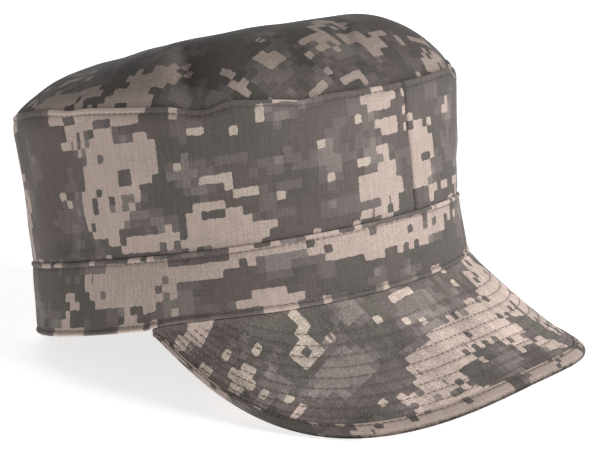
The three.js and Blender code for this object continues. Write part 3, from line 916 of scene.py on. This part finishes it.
def make_stitches(name, runs):
    shape, faces = thread_shape()
    middles = np.concatenate([run[0] for run in runs])
    spans = np.concatenate([run[1] for run in runs])
    normals = np.concatenate([run[2] for run in runs])
    ahead = unit(spans)
    aside = unit(np.cross(normals, ahead))
    above = np.cross(ahead, aside)
    length = np.linalg.norm(spans, axis=1)[:, None, None]
    verts = (
        middles[:, None]
        + ahead[:, None] * shape[None, :, :1] * length
        + aside[:, None] * shape[None, :, 1:2]
        + above[:, None] * shape[None, :, 2:3]
    )
    all_faces = [
        [corner + index * len(shape) for corner in face]
        for index in range(len(middles))
        for face in faces
    ]
    piece = add_object(name, smooth_mesh(name, verts.reshape(-1, 3), all_faces))
    piece.data.materials.append(thread_material())
    return finish_piece(piece, None)


def ring_turns():
    return np.linspace(-np.pi, np.pi, 1440)


def wall_stitches():
    turns = ring_turns()
    up = 1 - SEAM_STITCH / wall_height(turns)
    return [stitch_run(wall_point(turns, up), outward(turns))]


def band_stitches():
    turns = ring_turns()
    tall = band_top_point(turns)[:, 2] - rim_point(turns)[:, 2]
    top = stitch_run(band_point(turns, 1 - SEAM_STITCH / tall), outward(turns))
    hem = stitch_run(band_point(turns, HEM_STITCH / tall), outward(turns), start=1.2)
    return [top, hem]


def bill_stitches():
    runs = []
    across = bill_places(900)
    for index, distance in enumerate(bill_row_distances()):
        inside = bill_slope(across) > distance + 2.0
        # A row shorter than about one stitch is left out.
        if inside.sum() < 12:
            continue
        kept = across[inside]
        for sign in (1, -1):
            relief = bill_relief(kept, np.full(kept.shape, distance))
            height = sign * (BILL_WALL / 2 + relief) - BILL_WALL / 2
            path = bill_layer(kept, distance, height)
            normal = sign * bill_normal(kept, distance)
            runs.append(stitch_run(path, normal, start=0.7 * (index % 3)))
    return runs


def binding_stitches():
    across = bill_places(900)
    slope = binding_width(across) * BINDING_STITCH_BACK
    half = BINDING_STITCH_HIGH * (BILL_WALL / 2 + BINDING_PROUD)
    return [
        stitch_run(
            bill_layer(across, slope, sign * half - BILL_WALL / 2), sign * bill_normal(across, slope)
        )
        for sign in (1, -1)
    ]


# Materials


def linear(red, green, blue):
    """Screen values from 0 to 255 as a linear colour."""
    parts = [value / 255 for value in (red, green, blue)]
    return tuple(v / 12.92 if v <= 0.04045 else ((v + 0.055) / 1.055) ** 2.4 for v in parts) + (1.0,)


SAND = linear(191, 173, 163)
BONE = linear(194, 179, 166)
GREY = linear(135, 126, 122)
MID_DARK = linear(118, 109, 106)
WARM_DARK = linear(107, 98, 95)
GREEN_DARK = linear(100, 95, 90)
# The side of a printed cell, in millimetres.
CELL = 3.4
# How far a patch pulls the cells in it towards light or dark, or dark ones towards grey.
PATCH_PULL = dict(sand=0.7, mixed=0.26, dark=-0.7)
GREY_PULL = 0.15
# Cells of a higher tone than this are sand. Single dark cells lie this much over it at most.
SAND_FROM = 0.25
SPECK_ZONE = 0.6
# Chance above which a cell there is dark, and below which a cell in the dark is light.
DARK_SPECK_FROM = 0.86
SPARK_BELOW = 0.01
# Where the two greys begin in the mottle of the darks.
MID_FROM = 0.56
GREY_FROM = 0.68
THREAD_SHADE = linear(92, 83, 77)
THREAD_LIT = linear(133, 122, 114)


class Nodes:
    """Short names for building a node tree."""

    def __init__(self, tree):
        self.tree = tree
        self.tree.nodes.clear()

    def add(self, kind, **settings):
        node = self.tree.nodes.new(kind)
        for key, value in settings.items():
            setattr(node, key, value)
        return node

    def link(self, source, target):
        if isinstance(source, bpy.types.NodeSocket):
            self.tree.links.new(source, target)
        else:
            target.default_value = source

    def math(self, operation, first, second=0.0, third=0.0, clamp=False):
        node = self.add("ShaderNodeMath", operation=operation, use_clamp=clamp)
        for socket, value in zip(node.inputs, (first, second, third)):
            self.link(value, socket)
        return node.outputs[0]

    def vector(self, operation, first, second=(0, 0, 0), third=(0, 0, 0), output=0):
        node = self.add("ShaderNodeVectorMath", operation=operation)
        for socket, value in zip(node.inputs, (first, second, third)):
            self.link(value, socket)
        return node.outputs[output]

    def scale(self, vector, factor):
        node = self.add("ShaderNodeVectorMath", operation="SCALE")
        self.link(vector, node.inputs[0])
        self.link(factor, node.inputs["Scale"])
        return node.outputs[0]

    def mix(self, share, first, second):
        node = self.add("ShaderNodeMix", data_type="RGBA")
        self.link(share, node.inputs[0])
        self.link(first, node.inputs[6])
        self.link(second, node.inputs[7])
        return node.outputs[2]

    def blend(self, share, first, second):
        node = self.add("ShaderNodeMix", data_type="FLOAT")
        self.link(share, node.inputs[0])
        self.link(first, node.inputs[2])
        self.link(second, node.inputs[3])
        return node.outputs[0]

    def noise(self, where, scale, detail=0.0, w=0.0):
        node = self.add("ShaderNodeTexNoise", noise_dimensions="4D")
        self.link(where, node.inputs["Vector"])
        node.inputs["Scale"].default_value = scale
        node.inputs["Detail"].default_value = detail
        node.inputs["W"].default_value = w
        return node.outputs[0]

    def white(self, where, w):
        node = self.add("ShaderNodeTexWhiteNoise", noise_dimensions="4D")
        self.link(where, node.inputs["Vector"])
        node.inputs["W"].default_value = w
        return node.outputs[0]

    def ramp(self, value, low, high):
        """0 below `low`, 1 above `high` and smooth in between."""
        node = self.add("ShaderNodeMapRange", interpolation_type="SMOOTHSTEP")
        self.link(value, node.inputs[0])
        node.inputs[1].default_value = low
        node.inputs[2].default_value = high
        return node.outputs[0]

    def surface(self, colour, settings):
        """A shader of this colour that ends the material; settings go to its own sockets."""
        shader = self.add("ShaderNodeBsdfPrincipled")
        self.link(colour, shader.inputs["Base Color"])
        for socket, value in settings.items():
            self.link(value, shader.inputs[socket])
        output = self.add("ShaderNodeOutputMaterial")
        self.link(shader.outputs[0], output.inputs[0])

    def above(self, value, edge):
        return self.math("GREATER_THAN", value, edge)

    def below(self, value, edge):
        return self.math("LESS_THAN", value, edge)


def new_material(name):
    material = bpy.data.materials.new(name)
    material.use_nodes = True
    return material, Nodes(material.node_tree)


def distance_from(nodes, cell, patch):
    """How far a cell is from a patch's middle: 1 is at the patch's edge."""
    u, v, wide, tall = patch
    shares = (CELL / wide, CELL / tall, 0.0)
    across = -(u / CELL - 0.5) * shares[0]
    along = -(v / CELL - 0.5) * shares[1]
    away = nodes.vector("MULTIPLY_ADD", cell, shares, (across, along, 0.0))
    return nodes.vector("LENGTH", away, output=1)


def nearness(nodes, cell, patch):
    """1 well inside a patch and 0 a little outside it."""
    return nodes.math("MULTIPLY_ADD", distance_from(nodes, cell, patch), -2.0, 2.5, clamp=True)


def cells_inside(nodes, cell, patches):
    return [nodes.below(distance_from(nodes, cell, patch), 1.0) for patch in patches]


def cell_group(name, seed, patches):
    """One printed cell, given by its column and row: is it light, and how light is its area?"""
    group = bpy.data.node_groups.new(name, "ShaderNodeTree")
    nodes = Nodes(group)
    group.interface.new_socket("Cell", in_out="INPUT", socket_type="NodeSocketVector")
    group.interface.new_socket("Light", in_out="OUTPUT", socket_type="NodeSocketFloat")
    group.interface.new_socket("Tone", in_out="OUTPUT", socket_type="NodeSocketFloat")
    cell = nodes.add("NodeGroupInput").outputs[0]
    # Large areas, smaller shapes in them and single cells.
    tone = nodes.math("MULTIPLY_ADD", nodes.noise(cell, 0.095, w=seed), 2.2, -1.65)
    tone = nodes.math("MULTIPLY_ADD", nodes.noise(cell, 0.31, w=seed + 3.7), 1.1, tone)
    tone = nodes.math("MULTIPLY_ADD", nodes.white(cell, seed + 1.3), 0.34, tone)
    tone = nodes.math("SUBTRACT", tone, 0.17)
    for kind, pull in PATCH_PULL.items():
        for patch in patches.get(kind, []):
            tone = nodes.math("MULTIPLY_ADD", nearness(nodes, cell, patch), pull, tone)
    light = nodes.above(tone, SAND_FROM)
    # Single dark cells lie in the sand near its edges, and a few light ones in the dark.
    chance = nodes.white(cell, seed + 7.9)
    edge_zone = nodes.below(tone, SAND_FROM + SPECK_ZONE)
    dark_speck = nodes.math("MULTIPLY", nodes.above(chance, DARK_SPECK_FROM), edge_zone)
    deep_zone = nodes.below(tone, SAND_FROM - 0.1)
    spark = nodes.math("MULTIPLY", nodes.below(chance, SPARK_BELOW), deep_zone)
    light = nodes.math("SUBTRACT", light, dark_speck, clamp=True)
    for extra in [spark] + cells_inside(nodes, cell, patches.get("bar", [])):
        light = nodes.math("MAXIMUM", light, extra)
    for dark in cells_inside(nodes, cell, patches.get("spot", [])):
        light = nodes.math("SUBTRACT", light, dark, clamp=True)
    output = nodes.add("NodeGroupOutput")
    nodes.link(light, output.inputs[0])
    nodes.link(tone, output.inputs[1])
    return group


def blend_cells(nodes, place, group):
    """The four nearest cells blended, which rounds the corners of the printed shapes."""
    corner = nodes.vector("FLOOR", place)
    parts = nodes.add("ShaderNodeSeparateXYZ")
    nodes.link(nodes.vector("SUBTRACT", place, corner), parts.inputs[0])
    lights, tones = [], []
    for row in (0, 1):
        for column in (0, 1):
            neighbour = nodes.add("ShaderNodeGroup", node_tree=group)
            nodes.link(nodes.vector("ADD", corner, (column, row, 0)), neighbour.inputs[0])
            lights.append(neighbour.outputs["Light"])
            tones.append(neighbour.outputs["Tone"])
    soft = [nodes.ramp(parts.outputs[axis], 0.25, 0.75) for axis in (0, 1)]
    hard = [nodes.above(parts.outputs[axis], 0.5) for axis in (0, 1)]

    def across(values, shares):
        low = nodes.blend(shares[0], values[0], values[1])
        high = nodes.blend(shares[0], values[2], values[3])
        return nodes.blend(shares[1], low, high)

    return nodes.ramp(across(lights, soft), 0.44, 0.56), across(tones, hard)


def camouflage(name, seed, patches, painted_light_level, speckle):
    """Matte cotton printed with small square cells in sand, greys and green-grey."""
    material, nodes = new_material(name)
    uv = nodes.add("ShaderNodeUVMap", uv_map="cloth").outputs[0]
    # Ink spreads a little, so that the cells' edges are not quite straight.
    bleed = nodes.add("ShaderNodeTexNoise", noise_dimensions="3D")
    nodes.link(uv, bleed.inputs["Vector"])
    bleed.inputs["Scale"].default_value = 0.42
    wobble = nodes.vector("SUBTRACT", bleed.outputs["Color"], (0.5, 0.5, 0.5))
    inked = nodes.vector("MULTIPLY_ADD", wobble, (1.5, 1.5, 0.0), uv)
    place = nodes.vector("MULTIPLY_ADD", inked, (1 / CELL, 1 / CELL, 0.0), (-0.5, -0.5, 0.0))
    light, tone = blend_cells(nodes, place, cell_group(name + "_cell", seed, patches))
    cell = nodes.vector("FLOOR", nodes.vector("ADD", place, (0.5, 0.5, 0.0)))
    # Two darks and two greys lie under the sand.
    mottle = nodes.math("MULTIPLY_ADD", nodes.white(cell, seed + 5.1), 0.16, -0.08)
    mottle = nodes.math("ADD", nodes.noise(cell, 0.22, w=seed + 11.0), mottle)
    for patch in patches.get("grey", []):
        mottle = nodes.math("MULTIPLY_ADD", nearness(nodes, cell, patch), GREY_PULL, mottle)
    green = nodes.ramp(nodes.noise(cell, 0.13, w=seed + 17.0), 0.44, 0.56)
    colour = nodes.mix(green, WARM_DARK, GREEN_DARK)
    colour = nodes.mix(nodes.above(mottle, MID_FROM), colour, MID_DARK)
    colour = nodes.mix(nodes.above(mottle, GREY_FROM), colour, GREY)
    pale = nodes.mix(nodes.below(tone, SAND_FROM), SAND, BONE)
    colour = nodes.mix(light, colour, pale)
    # Thin upright dashes in the sand.
    dash_place = nodes.vector("MULTIPLY", inked, (3 / CELL, 1 / CELL, 0.0))
    dash_cell = nodes.vector("FLOOR", dash_place)
    dash = nodes.math("MULTIPLY", nodes.above(nodes.white(dash_cell, seed + 9.4), 0.993), light)
    colour = nodes.mix(nodes.math("MULTIPLY", dash, 0.8), colour, WARM_DARK)
    cloth_finish(nodes, uv, colour, seed, painted_light_level, speckle)
    return material


def cloth_finish(nodes, thread_place, colour, seed, painted_light_level, speckle):
    """Weave, slubs, fading, wear with painted highlights and shade along seams and folds, a painted
    light level for the whole piece, and sheen over a printed colour.
    """
    upright = nodes.noise(nodes.vector("MULTIPLY", thread_place, (1.8, 0.1, 0.0)), 1.0, 2.0, w=seed)
    level = nodes.noise(nodes.vector("MULTIPLY", thread_place, (0.16, 2.0, 0.0)), 1.0, 2.0, w=seed + 2)
    fade = nodes.noise(thread_place, 0.025, 3.0, w=seed + 4)
    grain = nodes.noise(thread_place, 1.5, 2.0, w=seed + 6)
    # This attribute is painted light and shade with some wear: lighter on folded edges and bumps, darker
    # in grooves, hollows and under laps.
    raised = nodes.add("ShaderNodeAttribute", attribute_name="raised").outputs["Fac"]
    twill = nodes.vector("FLOOR", nodes.vector("MULTIPLY", thread_place, (1.7, 2.3, 0.0)))
    point = nodes.math("POWER", nodes.white(twill, seed + 8), 5.0)
    # How much each of these changes the lightness; the start makes up for the specks' mean.
    light = 0.04 - speckle / 6
    for source, share in [
        (upright, 0.6), (level, 0.3), (fade, 0.34), (grain, 0.7), (point, speckle), (raised, 0.36)
    ]:
        light = nodes.math("MULTIPLY_ADD", source, share, light)
    # Painted light: the whole piece's colour is scaled by how light falls on it, darker for the crown's
    # top and lighter for the bill.
    colour = nodes.scale(colour, nodes.math("MULTIPLY", light, painted_light_level))
    # Fine ribs across the cloth and thicker threads raise it.
    ribs = nodes.add("ShaderNodeTexWave", wave_type="BANDS", bands_direction="DIAGONAL")
    nodes.link(thread_place, ribs.inputs["Vector"])
    ribs.inputs["Scale"].default_value = 0.5
    ribs.inputs["Distortion"].default_value = 0.8
    height = nodes.math("MULTIPLY_ADD", ribs.outputs["Fac"], 0.3, grain)
    height = nodes.math("MULTIPLY_ADD", upright, 0.8, height)
    bump = nodes.add("ShaderNodeBump")
    bump.inputs["Strength"].default_value = 0.5
    bump.inputs["Distance"].default_value = 0.25 * MM
    nodes.link(height, bump.inputs["Height"])
    nodes.surface(colour, {
        "Roughness": nodes.math("MULTIPLY_ADD", grain, 0.12, 0.82),
        "Normal": bump.outputs[0],
        "Specular IOR Level": 0.2,
        "Sheen Weight": 0.08,
        "Sheen Roughness": 0.5,
    })


def thread_material():
    known = bpy.data.materials.get("thread")
    if known:
        return known
    material, nodes = new_material("thread")
    place = nodes.add("ShaderNodeTexCoord").outputs["Object"]
    twist = nodes.noise(place, 900.0, 2.0)
    colour = nodes.mix(twist, THREAD_SHADE, THREAD_LIT)
    nodes.surface(colour, {"Roughness": 0.7, "Sheen Weight": 0.1})
    return material


# Stage


FLOOR_HALF_SIZE = 40.0
FLOOR_GLOW = 0.7


def make_floor():
    size = FLOOR_HALF_SIZE
    mesh = bpy.data.meshes.new("floor")
    corners = [(-size, -size, 0), (size, -size, 0), (size, size, 0), (-size, size, 0)]
    mesh.from_pydata(corners, [], [(0, 1, 2, 3)])
    floor = add_object("floor", mesh)
    material, nodes = new_material("floor_paper")
    place = nodes.add("ShaderNodeTexCoord").outputs["Object"]
    tone = nodes.noise(place, 2.0, 3.0)
    colour = nodes.mix(tone, (0.88, 0.88, 0.88, 1), (0.91, 0.91, 0.91, 1))
    nodes.surface(colour, {
        "Roughness": 0.9, "Emission Color": (1, 1, 1, 1), "Emission Strength": FLOOR_GLOW
    })
    mesh.materials.append(material)


def direction(azimuth, elevation):
    """The way out from the cap; azimuth goes round from -Y towards +X. Both in radians."""
    level = math.cos(elevation)
    return Vector((math.sin(azimuth) * level, -math.cos(azimuth) * level, math.sin(elevation)))


def make_light(name, azimuth, elevation, distance, size, power):
    """A soft square lamp aimed at the cap, with its angles in degrees."""
    lamp = bpy.data.lights.new(name, "AREA")
    lamp.shape = "SQUARE"
    lamp.size = size
    lamp.energy = power
    back = direction(math.radians(azimuth), math.radians(elevation))
    light = add_object(name, lamp)
    light.location = Vector((0, 0, 0.06)) + back * distance
    light.rotation_euler = (-back).to_track_quat("-Z", "Y").to_euler()


def make_world(at_horizon, overhead):
    """Studio walls that are brighter than the ceiling."""
    world = bpy.data.worlds.new("studio")
    bpy.context.scene.world = world
    world.use_nodes = True
    nodes = Nodes(world.node_tree)
    parts = nodes.add("ShaderNodeSeparateXYZ")
    nodes.link(nodes.add("ShaderNodeTexCoord").outputs["Generated"], parts.inputs[0])
    height = nodes.ramp(parts.outputs[2], 0.0, 0.6)
    background = nodes.add("ShaderNodeBackground")
    nodes.link(nodes.blend(height, at_horizon, overhead), background.inputs["Strength"])
    output = nodes.add("ShaderNodeOutputWorld")
    nodes.link(background.outputs[0], output.inputs[0])


# The camera as it was fitted to the photo; distance and aim in metres, lens in millimetres.
CAMERA_AZIMUTH = math.radians(41.26)
CAMERA_ELEVATION = math.radians(13.94)
CAMERA_ROLL = math.radians(-1.31)
CAMERA_DISTANCE = 0.7308
CAMERA_AIM = Vector((-0.00913, 0.01664, 0.04562))
CAMERA_LENS = 98.66


def make_camera():
    data = bpy.data.cameras.new("camera")
    data.lens = CAMERA_LENS
    data.sensor_width = 36
    data.clip_start = 0.01
    camera = add_object("camera", data)
    back = direction(CAMERA_AZIMUTH, CAMERA_ELEVATION)
    camera.location = CAMERA_AIM + back * CAMERA_DISTANCE
    camera.rotation_mode = "QUATERNION"
    look = (-back).to_track_quat("-Z", "Y")
    camera.rotation_quaternion = look @ Quaternion((0, 0, 1), CAMERA_ROLL)
    bpy.context.scene.camera = camera


make_camera()
make_floor()
make_world(at_horizon=0.5, overhead=0.18)
make_light("key", azimuth=104, elevation=27, distance=1.7, size=1.1, power=20)
make_light("rim", azimuth=235, elevation=18, distance=1.8, size=1.2, power=9)
bpy.context.scene.view_settings.view_transform = "Standard"

# Each piece with its print's patches, noise seed, painted light level and share of bright specks. The
# light level is painted light: it darkens the crown's top and lightens the bill for how light falls on
# them.
prints = [
    (make_crown_top("crown_top_cloth"), TOP_PATCHES, dict(seed=4.2, painted_light_level=0.68, speckle=0.15)),
    (make_crown_side("crown_side_left", 1), LEFT_WALL_PATCHES, dict(seed=8.6, painted_light_level=0.97, speckle=0.15)),
    (make_crown_side("crown_side_right", -1), WALL_PATCHES, dict(seed=15.3, painted_light_level=0.97, speckle=0.15)),
    (make_headband("headband_cloth"), BAND_PATCHES, dict(seed=21.7, painted_light_level=1.0, speckle=0.15)),
    (make_bill("bill_cloth"), BILL_PATCHES, dict(seed=27.1, painted_light_level=1.5, speckle=0.45)),
    (make_binding("bill_binding_cloth"), BINDING_PATCHES, dict(seed=33.9, painted_light_level=1.0, speckle=0.25)),
]
for piece, patches, look in prints:
    name = piece.name.replace("cloth", "print")
    piece.data.materials.append(camouflage(name, patches=patches, **look))

make_stitches("stitches_crown", wall_stitches())
make_stitches("stitches_headband", band_stitches())
make_stitches("stitches_bill", bill_stitches())
make_stitches("stitches_binding", binding_stitches())
